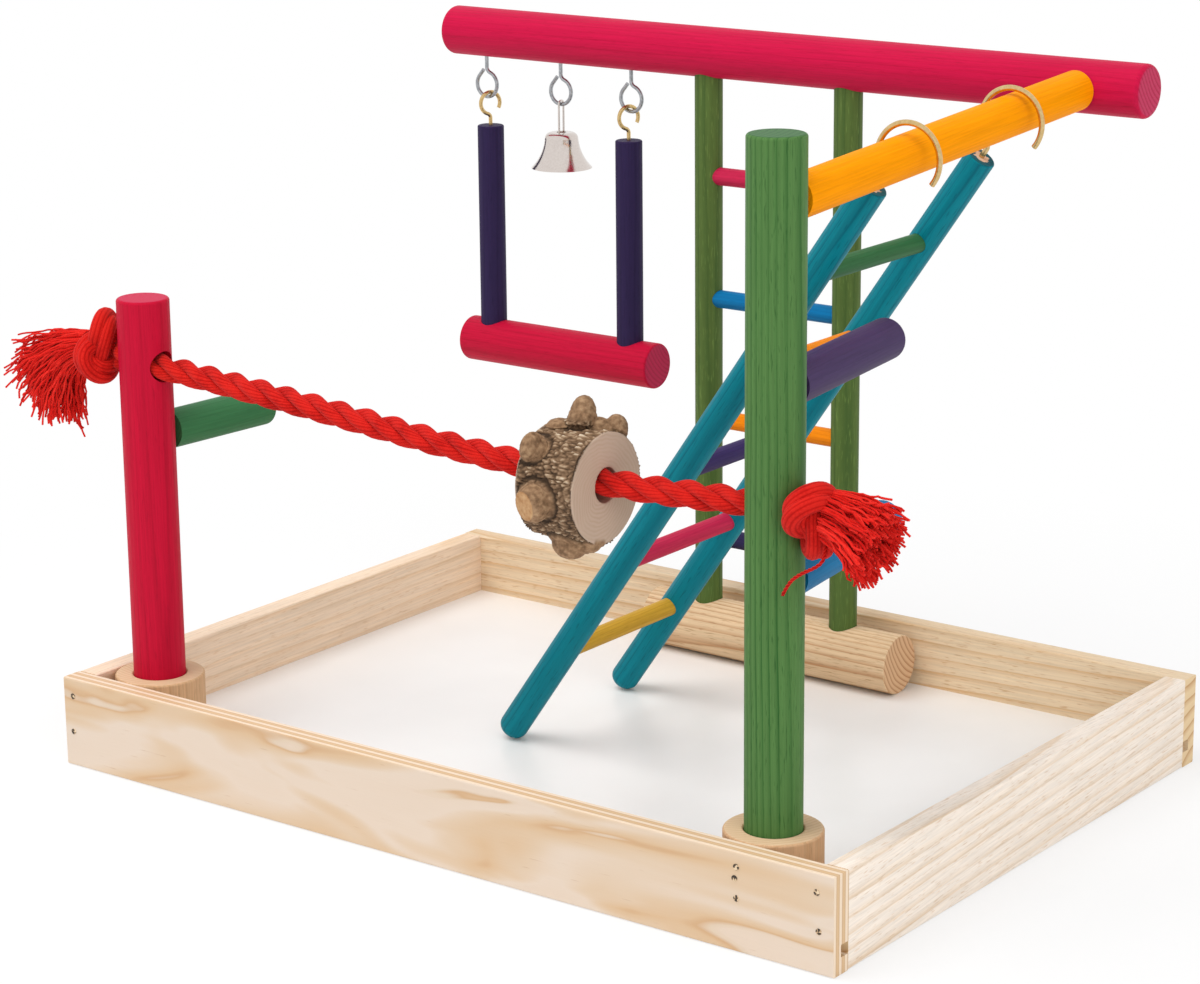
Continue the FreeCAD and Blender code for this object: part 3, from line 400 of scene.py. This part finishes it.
def laid_rope(name, replaced, line, run, first, strand, apart, lay, yarns, unlay):
    """Three strands of one radius, laid apart round the line, with yarns as soft ridges.

    lay is how far along the line a strand goes round once, in metres, and unlay how fast its own
    yarns turn back, in radians per metre.
    """
    side, up = carried_frame(line, first)
    around = yarns * 4
    theta = np.arange(around) * 2 * math.pi / around
    ridge = np.abs(np.cos(yarns * theta / 2))[None, :] ** 0.5
    along = run[:, None]
    points, faces, crest = [], [], []
    for number in range(3):
        phase = 2 * math.pi * (run / lay + number / 3)
        out = np.cos(phase)[:, None] * side + np.sin(phase)[:, None] * up
        across = -np.sin(phase)[:, None] * side + np.cos(phase)[:, None] * up
        middle = line + apart * out
        spin = theta - unlay * along + WAVER * np.sin(2.3 * theta + 31 * along + number)
        swell = LUMP * np.sin(3 * theta + 120 * along + 2 * number)
        size = strand * (STRAND_BODY + YARN_RIDGE * ridge + swell)
        ring = (middle[:, None, :] + (size * np.cos(spin))[..., None] * out[:, None, :]
                + (size * np.sin(spin))[..., None] * across[:, None, :])
        base = number * len(run) * around
        last = base + (len(run) - 1) * around
        points.append(ring.reshape(-1, 3))
        # crest is how high each point stands on its yarn; the cotton finish paints shade into its
        # low places.
        crest.append((ridge + 4 * swell).reshape(-1))
        for start in range(base, last, around):
            for turn in range(around):
                a, b = start + turn, start + (turn + 1) % around
                faces.append((a, b, b + around, a + around))
        faces.append(tuple(range(base + around - 1, base - 1, -1)))
        faces.append(tuple(range(last, last + around)))
    mesh = bpy.data.meshes.new(name)
    mesh.from_pydata(np.concatenate(points).tolist(), [], faces)
    heights = mesh.attributes.new("crest", "FLOAT", "POINT").data
    heights.foreach_set("value", np.concatenate(crest))
    mesh.materials.append(cotton)
    return piece_of(name, mesh, "stand", "rope_red", *replaced)


# Cotton yarn dyed red: dull, with a soft nap that catches light at the edges, and painted shade in
# the grooves between its yarns.
cotton, tree, shader, here = finish_of("red dyed cotton yarn", 0.9, Specular_IOR_Level=0.15,
                                       Sheen_Weight=0.04)
ridge = add(tree, "ShaderNodeAttribute", attribute_name="crest").outputs["Fac"]
fuzz = blotches(tree, here["Object"], 900, 3)["Fac"]
patch = blotches(tree, here["Object"], 90, 2)["Fac"]
# Painted shade: the red is darker where crest is low, in the grooves between yarns and strands, and
# lighter on the crests; the noise is the yarn's own mottle.
groove_shade_and_mottle = step(tree, "ADD", step(tree, "MULTIPLY", ridge, fuzz), patch)
red = ramp(tree, groove_shade_and_mottle, (0.25, "#820804"), (0.5, "#b0100b"), (0.75, "#c31812"), (1.0, "#d4231b"))
tree.links.new(red, shader.inputs["Base Color"])
emboss(tree, shader, fuzz, 0.5)

rope_line, rope_run = smooth_line(ROPE_ROUTE, STEP)
rope = laid_rope("rope_strands", ["rope"], rope_line, rope_run, BACK, strand=0.0031,
                 apart=0.0031, lay=0.048, yarns=12, unlay=262)


def overhand(name, replaced, middle, entry, leave, side, spin, scale, thick, girth):
    """An overhand knot pulled tight against its post: most of a trefoil round the rope's line."""
    loops = []
    for degrees in range(222, 499, 12):
        t = math.radians(degrees)
        flat = Vector((math.sin(t) + 2 * math.sin(2 * t), math.cos(t) - 2 * math.cos(2 * t)))
        turned = Matrix.Rotation(spin, 2) @ (flat * scale)
        loops.append(Vector(middle) + Vector((side * math.sin(3 * t) * thick, *turned)))
    line, run = smooth_line([Vector(entry)] + loops + [Vector(leave)], STEP)
    return laid_rope(name, [replaced], line, run, (0, 1, 0.3), strand=girth, apart=0.0026,
                     lay=0.075, yarns=12, unlay=60)


left_knot = overhand("left_overhand_knot", "left_knot", middle=(-0.2128, ROPE_Y, 0.2003),
                     entry=(-0.2, ROPE_Y, 0.1975), leave=(-0.225, ROPE_Y, 0.199), side=-1,
                     spin=1.05, scale=0.0046, thick=0.0031, girth=0.0037)
right_knot = overhand("right_overhand_knot", "right_knot", middle=(0.1892, ROPE_Y, 0.1835),
                      entry=(0.181, ROPE_Y, 0.1846), leave=(0.202, ROPE_Y, 0.182), side=1,
                      spin=2.09, scale=0.0045, thick=0.0040, girth=0.0040)

# The same cotton, let go: each yarn took the dye a little differently.
yarn, tree, shader, here = finish_of("red cotton, loose yarns", 0.9, Specular_IOR_Level=0.15,
                                     Sheen_Weight=0.04)
tone = add(tree, "ShaderNodeAttribute", attribute_name="tone").outputs["Fac"]
fuzz = blotches(tree, here["Object"], 700, 3)["Fac"]
half = step(tree, "MULTIPLY", step(tree, "ADD", tone, fuzz), 0.5)
red = ramp(tree, half, (0.15, "#c8120c"), (0.5, "#e0221a"), (0.85, "#f2352a"))
tree.links.new(red, shader.inputs["Base Color"])
emboss(tree, shader, fuzz, 0.5)

# Beyond each knot the strands are let go, and their yarns, 1 mm thick, spread and droop. The
# node group draws one such end. Its inputs:
#   Neck, Hollow      the radius that the yarns start in, and how much of its middle is empty
#   Lean, Fan         how far the yarns point down, and how far they spread, in radians
#   Long Above, Below how long the top and the bottom yarns are
#   Deep              how far the yarns spread to the front and the back
#   Droop, Stray      how far their ends sag, and how far they wander
fray = bpy.data.node_groups.new("loose yarns", "GeometryNodeTree")
for label in ("Yarns", "Seed"):
    fray.interface.new_socket(label, in_out="INPUT", socket_type="NodeSocketInt")
fray.interface.new_socket("Start", in_out="INPUT", socket_type="NodeSocketVector")
for label in ("Side", "Neck", "Hollow", "Lean", "Fan", "Long Above", "Long Below", "Deep",
              "Droop", "Stray", "Yarn Radius"):
    fray.interface.new_socket(label, in_out="INPUT", socket_type="NodeSocketFloat")
fray.interface.new_socket("Finish", in_out="INPUT", socket_type="NodeSocketMaterial")
fray.interface.new_socket("Geometry", in_out="OUTPUT", socket_type="NodeSocketGeometry")
given = fray.nodes.new("NodeGroupInput").outputs


def times(*values):
    """A product in the yarns' tree."""
    product = values[0]
    for value in values[1:]:
        product = step(fray, "MULTIPLY", product, value)
    return product


# Where each yarn starts in the neck, and its own share of each kind of chance.
index = add(fray, "GeometryNodeInputIndex").outputs[0]
chance = []
for offset in range(0, 119, 17):
    roll = add(fray, "FunctionNodeRandomValue",
               {"ID": index, "Seed": step(fray, "ADD", given["Seed"], float(offset))})
    chance.append(roll.outputs[1])
filled = step(fray, "SUBTRACT", 1.0, given["Hollow"])
from_middle = step(fray, "SQRT", step(fray, "MULTIPLY_ADD", chance[0], filled, given["Hollow"]))
turn = times(chance[1], 2 * math.pi)
above = times(from_middle, step(fray, "COSINE", turn))
beside = times(from_middle, step(fray, "SINE", turn))
kept = add(fray, "GeometryNodePoints", {"Count": given["Yarns"]}).outputs[0]
for label, value in (("above", above), ("beside", beside), ("tone", chance[2]),
                     ("jitter", chance[3]), ("length", chance[4]), ("wave", chance[5]),
                     ("sag", chance[6])):
    kept = add(fray, "GeometryNodeStoreNamedAttribute",
               {"Geometry": kept, "Name": label, "Value": value}).outputs[0]
straight = add(fray, "GeometryNodeCurvePrimitiveLine", {"End": UP})
parted = add(fray, "GeometryNodeResampleCurve", {"Curve": straight.outputs[0], "Count": 15})
many = add(fray, "GeometryNodeInstanceOnPoints", {"Points": kept, "Instance": parted.outputs[0]})
real = add(fray, "GeometryNodeRealizeInstances", {"Geometry": many.outputs[0]})
own = {label: add(fray, "GeometryNodeInputNamedAttribute", {"Name": label}).outputs[0]
       for label in ("above", "beside", "jitter", "length", "wave", "sag")}

# Each yarn bends towards its own angle, and is longer the higher it starts.
far = add(fray, "GeometryNodeSplineParameter").outputs["Factor"]
angle = step(fray, "MULTIPLY_ADD", own["above"], given["Fan"], times(given["Lean"], -1.0))
angle = step(fray, "ADD", angle, times(step(fray, "SUBTRACT", own["jitter"], 0.5), 0.3))
bent = times(angle, step(fray, "POWER", far, 0.6))
rise = step(fray, "MULTIPLY_ADD", own["above"], 0.5, 0.5)
longer = step(fray, "SUBTRACT", given["Long Above"], given["Long Below"])
span = step(fray, "MULTIPLY_ADD", rise, longer, given["Long Below"])
away = times(times(span, step(fray, "MULTIPLY_ADD", own["length"], 0.26, 0.8)), far)
ahead = times(away, step(fray, "COSINE", bent))
climb = times(away, step(fray, "SINE", bent))
drop = times(times(far, far), times(given["Droop"], own["sag"]))
height = step(fray, "SUBTRACT", step(fray, "ADD", times(given["Neck"], own["above"]), climb), drop)
width = step(fray, "ADD", times(given["Neck"], own["beside"]),
             times(given["Deep"], own["beside"], far))
place = add(fray, "ShaderNodeCombineXYZ", {0: times(ahead, given["Side"]), 1: width, 2: height})

# It wanders more and more towards its loose end.
phase = add(fray, "ShaderNodeCombineXYZ", {0: times(far, 3.2), 1: times(own["wave"], 90.0),
                                           2: times(own["jitter"], 50.0)})
wave = blotches(fray, phase.outputs[0], 1.0, 1.0)["Color"]
off = vector_step(fray, "SUBTRACT", wave, (0.5, 0.5, 0.5))[0]
shake = vector_step(fray, "SCALE", off, Scale=times(given["Stray"], 4.0, far))[0]
shaken = vector_step(fray, "ADD", place.outputs[0], shake)[0]
there = vector_step(fray, "ADD", shaken, given["Start"])[0]
moved = add(fray, "GeometryNodeSetPosition", {"Geometry": real.outputs[0], "Position": there})
section = add(fray, "GeometryNodeCurvePrimitiveCircle",
              {"Resolution": 6, "Radius": given["Yarn Radius"]})
tubes = add(fray, "GeometryNodeCurveToMesh",
            {"Curve": moved.outputs[0], "Profile Curve": section.outputs[0], "Fill Caps": True})
dyed = add(fray, "GeometryNodeSetMaterial",
           {"Geometry": tubes.outputs[0], "Material": given["Finish"]})
add(fray, "NodeGroupOutput", {0: dyed.outputs[0]})


def plain_mesh(name, holder):
    """The mesh that an object's modifiers make. The object goes."""
    bpy.context.scene.collection.objects.link(holder)
    drawn = holder.evaluated_get(bpy.context.evaluated_depsgraph_get())
    mesh = bpy.data.meshes.new_from_object(drawn)
    bpy.data.objects.remove(holder)
    mesh.name = name
    return mesh


def loose_yarns(name, replaced, **sizes):
    """One frayed end of the rope."""
    holder = bpy.data.objects.new(name + "_tree", bpy.data.meshes.new(name + "_tree"))
    modifier = holder.modifiers.new("yarns", "NODES")
    modifier.node_group = fray
    for socket in fray.interface.items_tree:
        key = socket.name.replace(" ", "_").lower()
        if key in sizes:
            modifier[socket.identifier] = sizes[key]
    return piece_of(name, plain_mesh(name, holder), "stand", "rope_red", replaced)


left_fray = loose_yarns("left_loose_yarns", "left_tassel", yarns=460, seed=3,
                        start=(-0.2240, ROPE_Y, 0.2000), side=-1.0, neck=0.0074, hollow=0.0,
                        lean=0.68, fan=0.46, long_above=0.050, long_below=0.036, deep=0.008,
                        droop=0.002, stray=0.0034, yarn_radius=0.00048, finish=yarn)
right_fray = loose_yarns("right_loose_yarns", "right_tassel", yarns=420, seed=8,
                         start=(0.1965, ROPE_Y, 0.1830), side=1.0, neck=0.0115, hollow=0.14,
                         lean=0.36, fan=0.20, long_above=0.028, long_below=0.023, deep=0.007,
                         droop=0.002, stray=0.0021, yarn_radius=0.00050, finish=yarn)

# One yarn of the right end has slipped out and hangs in front of the post.
slip, slip_run = smooth_line([(0.1985, -0.1330, 0.1755), (0.2010, -0.1375, 0.1702),
                              (0.1994, -0.1400, 0.1668), (0.1914, -0.1410, 0.1626),
                              (0.1856, -0.1410, 0.1579), (0.1825, -0.1405, 0.1519)], FINE_STEP)
stray = laid_rope("slipped_yarn", [], slip, slip_run, BACK, strand=0.00042, apart=0.0004,
                  lay=0.006, yarns=2, unlay=0)

# ---------------------------------------------------------------- Branch slice
# A 32 mm slice sawn off a branch and threaded on the rope. Its bark is on, cracked into short
# scales along the branch. The stubs of its twigs were cut short and are rubbed smooth.
SLICE = Vector((0.0500, ROPE_Y, 0.1779))
SLICE_WIDE = 0.0317
BORE_Z = 0.1791
BARK_FROM = 0.0240
VOXEL = 0.0005
BARK_SEED = 3
# Each stub: mm along the branch, angle up from the front, mm from the middle of the branch, size
# in mm, how it leans in mm, how long and how thick it is drawn, and where it shows a saw cut:
# which way the cut looks and how far out it lies.
STUBS = ((14.5, 100, 29.2, 7.2, (0.8, 0, 0.4), 1.08, 0.9, None),
         (26, 122, 26.7, 6.2, (0.3, 0, 0), 1.0, 0.92, None),
         (22.5, 110, 25.2, 5.2, (0, 0, 0), 0.9, 1.0, None),
         (4.5, 92, 24.2, 4.5, (1.5, 0, 0), 0.62, 1.3, None),
         (5.2, 47, 26.7, 7.0, (0.4, 0, -1.8), 0.95, 0.92, ((-0.75, -0.5, 0.42), 5.0)),
         (11.5, -8, 26.2, 8.5, (0.2, 0, -0.2), 1.0, 0.95, ((-0.25, -0.95, -0.15), 4.6)),
         (17, -72, 24.2, 7.5, (0.4, 0, -1.8), 1.0, 1.08, None),
         (27.2, -78, 23.7, 4.8, (0, 0, -0.5), 1.0, 1.0, None),
         (12, 190, 24.2, 6.8, (0, 0, 0), 1.0, 0.95, ((0, 0.99, 0.1), 4.8)),
         (22, 222, 24.2, 4.9, (0, 0, 0), 1.0, 1.0, None))


def eased(value, low, high):
    """From 0 at low to 1 at high, with soft ends."""
    part = np.clip((value - low) / (high - low), 0, 1)
    return part * part * (3 - 2 * part)


# The CAD disc, welded and given an even skin that is fine enough to carry the bark.
work = bmesh.new()
work.from_mesh(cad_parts["bark_disc"].data)
bmesh.ops.remove_doubles(work, verts=work.verts, dist=1e-6)
rough_cut = bpy.data.meshes.new("bark_slice_rough")
work.to_mesh(rough_cut)
work.free()
holder = bpy.data.objects.new("bark_slice_rough", rough_cut)
skin = holder.modifiers.new("even skin", "REMESH")
skin.mode = "VOXEL"
skin.voxel_size = VOXEL
mesh = plain_mesh("bark_slice", holder)

spot = np.array([vertex.co[:] for vertex in mesh.vertices])
out = np.array([vertex.normal[:] for vertex in mesh.vertices])
along = spot[:, 0] - SLICE.x
from_face = np.minimum(along, SLICE_WIDE - along)
from_branch = np.hypot(spot[:, 1] - SLICE.y, spot[:, 2] - SLICE.z)
from_bore = np.hypot(spot[:, 1] - SLICE.y, spot[:, 2] - BORE_Z)
bark = eased(from_face, 0.0003, 0.0012) * eased(from_bore, 0.0115, 0.0125)
bark = np.maximum(bark, eased(from_branch, BARK_FROM, BARK_FROM + 0.0006))
stub, cut_end, crease = np.zeros((3, len(spot)))
for x, angle, reach, size, lean, longer, thicker, cut in STUBS:
    way = np.array((0, -math.cos(math.radians(angle)), math.sin(math.radians(angle))))
    centre = np.array(SLICE) + (np.array((x, 0, 0)) + way * reach) / 1000
    away = spot - centre
    near = np.linalg.norm(away, axis=1) * 1000 / size
    high = away @ way * 1000 / size
    lifted = eased(high, -0.5, -0.1)
    stub = np.maximum(stub, (1 - eased(near, 1.12, 1.34)) * lifted)
    crease = np.maximum(crease, eased(near, 1.05, 1.2) * (1 - eased(near, 1.25, 1.5)))
    # A twig widens into the branch, so the foot of its stub has no waist.
    aside = away - np.outer(away @ way, way)
    beside = np.linalg.norm(aside, axis=1) * 1000 / size
    foot = (near < 1.4) & (high < 0.1) & (from_branch > 0.0252) & (beside > 0.3)
    flare = np.maximum(1.0, (0.98 - 0.16 * high) / np.maximum(beside, 0.3))
    hold = (1 - eased(near, 1.05, 1.5)) * lifted
    wide = np.where(foot, flare, 1.0) * (1 + hold * (thicker - 1))
    spot += aside * (wide - 1)[:, None]
    spot += hold[:, None] * (np.array(lean) / 1000 + np.outer(away @ way, way) * (longer - 1))
    if cut:
        face = np.array(cut[0]) / np.linalg.norm(cut[0])
        over = np.where(near < 1.5, (spot - centre) @ face * 1000 - cut[1], -9)
        spot -= np.outer(np.clip(over, 0, None) * 0.00088, face)
        cut_end = np.maximum(cut_end, eased(over, -0.25, 0.1))

# The bore fits the rope more closely at the right face, and the left face was sawn a little in.
tight = 1 - (1 - eased(from_bore, 0.0088, 0.0135)) * 0.12 * along / SLICE_WIDE
spot[:, 1] = SLICE.y + (spot[:, 1] - SLICE.y) * tight
spot[:, 2] = BORE_Z + (spot[:, 2] - BORE_Z) * tight
spot[:, 0] += 0.0009 + 0.0011 * (1 - along / SLICE_WIDE)

# Scales of bark 5 mm long and 2 mm wide, parted by cracks up to 1 mm deep.
noise.seed_set(BARK_SEED)
scales, crumbs = np.zeros((2, len(spot)))
for number in np.nonzero(bark > 0.01)[0]:
    x, y, z = spot[number] * 1000
    wavy = noise.noise_vector(Vector((x, y, z)) / 3.4) * 0.42
    bent = Vector((x / 4.6, y / 1.7, z / 1.7)) + wavy
    near = noise.voronoi(bent)[0]
    gap = min(1.0, (near[1] - near[0]) * 2.6)
    scales[number] = gap * (0.66 + 0.34 * noise.cell(bent * 1.3))
    crumbs[number] = noise.fractal(Vector((x / 1.8, y, z)) / 0.9, 1.0, 2.0, 3)
loose_bark = bark * (1 - 0.86 * stub)
lift = (loose_bark * (1.15 * scales - 0.75 + 0.16 * crumbs)
        - crease * bark * (1 - stub) * 0.5 + 0.1 * stub * crumbs)
spot += out * (lift * (1 - cut_end) * 0.001)[:, None]
mesh.vertices.foreach_set("co", spot.ravel())
# shade is a slow drift of tone plus painted shade: the bark is made darker within 12 mm of the left
# face and towards the bottom of the slice.
shade = np.array([noise.fractal(Vector(point) / 9, 1.0, 2.0, 2) for point in spot * 1000])
shade += 0.5 - 0.7 * eased(-along, -0.012, 0.001) - 0.25 * eased(SLICE.z - spot[:, 2], 0.0, 0.02)
rim = 1 - eased(from_face, 0.0004, 0.0012)
# Painted shade: relief is darkened in the crease round the foot of each stub, where its bark meets
# the branch.
relief = (0.1 + 0.72 * scales + 0.22 * crumbs + 0.16 * shade - 0.6 * crease * (1 - stub)
          - 0.5 * rim * bark)
for label, value in (("relief", np.clip(relief, 0, 1)), ("bark", bark), ("stub", stub),
                     ("cut", cut_end)):
    mesh.attributes.new(label, "FLOAT", "POINT").data.foreach_set("value", value)

# Grey-brown bark with pale crests and dark cracks, dull throughout; the sawn wood is pinkish tan.
branch, tree, shader, here = finish_of("branch with its bark", 0.85, Specular_IOR_Level=0.3)
drawn = {label: add(tree, "ShaderNodeAttribute", attribute_name=label).outputs["Fac"]
         for label in ("relief", "bark", "stub", "cut")}
crust = ramp(tree, drawn["relief"], (0.05, "#3d2e21"), (0.3, "#6c533d"), (0.55, "#8f7359"),
             (0.78, "#b39a7e"), (0.98, "#dccab2"))
mottle = blotches(tree, here["Object"], 420, 5)["Fac"]
rubbed = ramp(tree, mottle, (0.3, "#6d523b"), (0.5, "#937356"), (0.72, "#b39271"))
fresh = ramp(tree, mottle, (0.3, "#a8774c"), (0.7, "#cba479"))
pith = add(tree, "ShaderNodeMapping",
           {"Vector": here["Object"], "Location": (0, -0.1265, 0.1772)},
           vector_type="TEXTURE").outputs[0]
wander = blotches(tree, pith, 70, 3)
astray = vector_step(tree, "SCALE", wander["Color"], Scale=0.006)[0]
rings = rings_round(tree, vector_step(tree, "ADD", pith, astray)[0], 190.0, "SIN")
tint = step(tree, "MULTIPLY", rings, wander["Fac"])
last = ramp(tree, tint, (0.1, "#c6ae9a"), (0.7, "#bea48f"))
for mask, cover in (("bark", crust), ("stub", rubbed), ("cut", fresh)):
    last = blend(tree, drawn[mask], last, cover)
tree.links.new(last, shader.inputs["Base Color"])
emboss(tree, shader, mottle, 0.5, depth=0.0004)
mesh.materials.clear()
mesh.materials.append(branch)
piece_of("bark_slice", mesh, "branch_slice", "bark", "bark_disc")

# ---------------------------------------------------------------- Studio
# A plain white floor, a white surround and soft lamps overhead. The camera stands where the
# photograph was taken from, 37 degrees to the right of the front.
CAMERA_AT = (0.8897, -1.1999, 0.5443)
AZIMUTH, ELEVATION, ROLL = math.radians(37.03), math.radians(15.32), math.radians(-0.55)


def seen_straight(tree):
    """1 for rays from the camera, also by way of a mirror or through glass, and 0 for the rest."""
    ray = add(tree, "ShaderNodeLightPath").outputs
    seen = step(tree, "MAXIMUM", ray["Is Camera Ray"], ray["Is Glossy Ray"])
    return step(tree, "MAXIMUM", seen, ray["Is Transmission Ray"])


bpy.ops.mesh.primitive_plane_add(size=8, location=(0, 0, -0.0003))
floor = bpy.context.object
floor.name = "studio_floor"
ground, tree, shader, here = finish_of("white studio floor", 0.8)
shader.inputs["Base Color"].default_value = linear("#f7f7f7")
bright = add(tree, "ShaderNodeEmission", {"Color": (1, 1, 1, 1), "Strength": 1.0})
away = vector_step(tree, "LENGTH", here["Object"])["Value"]
open_floor = between(tree, away, 0.3, 0.55, 0.65, 1.0)
share = step(tree, "MULTIPLY", seen_straight(tree), open_floor)
both = add(tree, "ShaderNodeMixShader", {0: share, 1: shader.outputs[0], 2: bright.outputs[0]})
tree.links.new(both.outputs[0], tree.nodes["Material Output"].inputs[0])
floor.data.materials.append(ground)

world = bpy.data.worlds.new("studio")
bpy.context.scene.world = world
world.use_nodes = True
tree = world.node_tree
background = tree.nodes["Background"].inputs
tree.links.new(between(tree, seen_straight(tree), 0.0, 1.0, 0.63, 1.0), background["Strength"])
background["Color"].default_value = (1, 1, 1, 1)

for lamp, place, size, watts in (("overhead_softbox", (-0.5, -0.7, 1.9), 1.6, 24),
                                 ("right_fill", (1.9, -0.9, 1.1), 1.4, 12)):
    light = bpy.data.lights.new(lamp, "AREA")
    light.shape = "DISK"
    light.size = size
    light.energy = watts
    holder = bpy.data.objects.new(lamp, light)
    holder.location = place
    holder.visible_glossy = False
    holder.rotation_mode = "QUATERNION"
    aim = Vector((0, 0, 0.15)) - Vector(place)
    holder.rotation_quaternion = aim.to_track_quat("-Z", "Y")
    bpy.context.scene.collection.objects.link(holder)

lens = bpy.data.cameras.new("camera")
lens.sensor_width = 36
lens.lens = 98.65
camera = bpy.data.objects.new("camera", lens)
back = Vector((math.sin(AZIMUTH) * math.cos(ELEVATION), -math.cos(AZIMUTH) * math.cos(ELEVATION),
               math.sin(ELEVATION)))
right = Vector((math.cos(AZIMUTH), math.sin(AZIMUTH), 0))
up = back.cross(right)
right, up = (right * math.cos(ROLL) + up * math.sin(ROLL),
             up * math.cos(ROLL) - right * math.sin(ROLL))
turned = Matrix((right, up, back)).transposed().to_4x4()
camera.matrix_world = Matrix.Translation(CAMERA_AT) @ turned
bpy.context.scene.collection.objects.link(camera)
bpy.context.scene.camera = camera
bpy.context.scene.view_settings.view_transform = "Standard"
